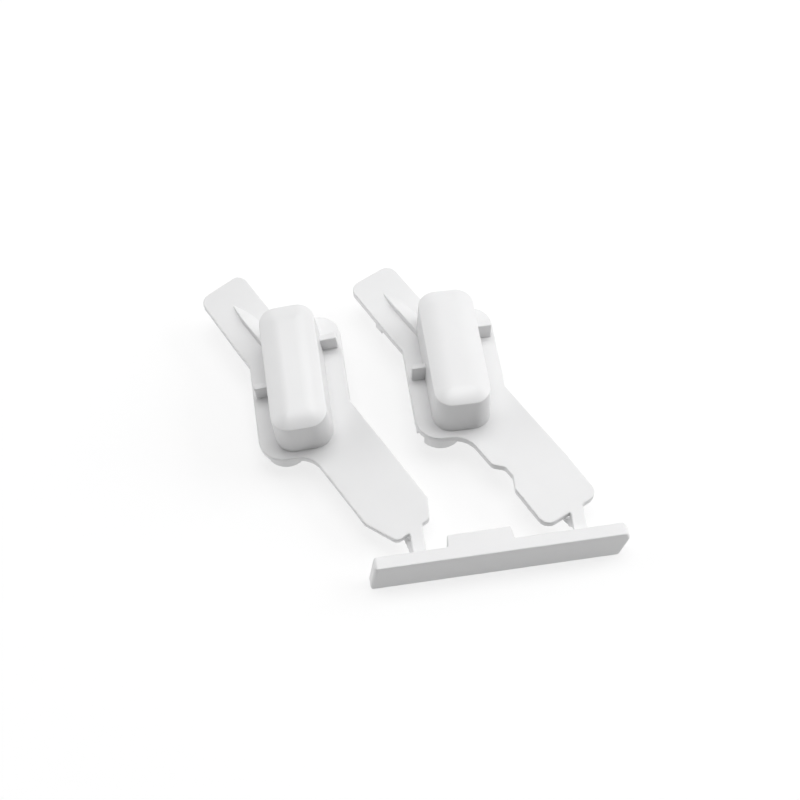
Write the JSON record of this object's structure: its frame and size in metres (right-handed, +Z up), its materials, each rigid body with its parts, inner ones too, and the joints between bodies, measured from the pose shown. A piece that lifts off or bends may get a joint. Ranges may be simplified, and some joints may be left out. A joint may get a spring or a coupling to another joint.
{
  "type": "stair gate latch",
  "caption": "Moulded white gate latch: two release levers with raised oblong push buttons, each hung on a flexible neck from one straight cross bar.",
  "frame": {"origin": "middle of the cross bar's underside, on the surface the part stands on", "axes": "+X along the cross bar towards the right lever, +Y from the bar towards the levers' tails, +Z up"},
  "size_m": [0.1014, 0.0968, 0.0257],
  "materials": {
    "plastic_white": "fine satin moulded white polypropylene",
    "button_gloss": "polished white button cap with a soft gloss"
  },
  "bodies": {
    "bar": {"cross_bar": "plastic_white", "bar_tab": "plastic_white"},
    "left_neck_body": {"left_neck": "plastic_white", "left_neck_gusset": "plastic_white"},
    "left_lever": {"left_toe": "plastic_white", "left_arm": "plastic_white", "left_flange": "plastic_white", "left_tail": "plastic_white", "left_tail_rib": "plastic_white", "left_button_wall": "plastic_white", "left_button_cap": "button_gloss", "left_upper_stop": "plastic_white", "left_lower_stop": "plastic_white", "left_guide_lip": "plastic_white", "left_corner_lug": "plastic_white", "left_spring_post": "plastic_white", "left_post_ribs": "plastic_white"},
    "right_neck_body": {"right_neck": "plastic_white", "right_neck_gusset": "plastic_white"},
    "right_lever": {"right_toe": "plastic_white", "right_arm": "plastic_white", "right_flange": "plastic_white", "right_tail": "plastic_white", "right_tail_rib": "plastic_white", "right_button_wall": "plastic_white", "right_button_cap": "button_gloss", "right_upper_stop": "plastic_white", "right_lower_stop": "plastic_white", "right_guide_lip": "plastic_white", "right_corner_lug": "plastic_white", "right_spring_post": "plastic_white", "right_post_ribs": "plastic_white", "right_tail_lug": "plastic_white"}
  },
  "joints": [
    {"name": "left_neck_bend", "type": "hinge", "parent": "bar", "child": "left_neck_body", "pos_m": [-0.02058, 0.0029, 0.00586], "axis": [0.9968, -0.0258, 0.0755], "range_deg": [-6, 12], "stiffness_Nm_per_rad": 0.6},
    {"name": "left_neck_twist", "type": "hinge", "parent": "left_neck_body", "child": "left_lever", "pos_m": [-0.02053, 0.00684, 0.00656], "axis": [-0.0122, -0.9845, -0.1751], "range_deg": [-8, 8], "stiffness_Nm_per_rad": 0.5},
    {"name": "right_neck_bend", "type": "hinge", "parent": "bar", "child": "right_neck_body", "pos_m": [0.02152, 0.00292, 0.0079], "axis": [0.9991, -0.0159, -0.04], "range_deg": [-6, 12], "stiffness_Nm_per_rad": 0.6},
    {"name": "right_neck_twist", "type": "hinge", "parent": "right_neck_body", "child": "right_lever", "pos_m": [0.02156, 0.00541, 0.00809], "axis": [-0.0189, -0.9968, -0.0774], "range_deg": [-8, 8], "stiffness_Nm_per_rad": 0.5}
  ]
}
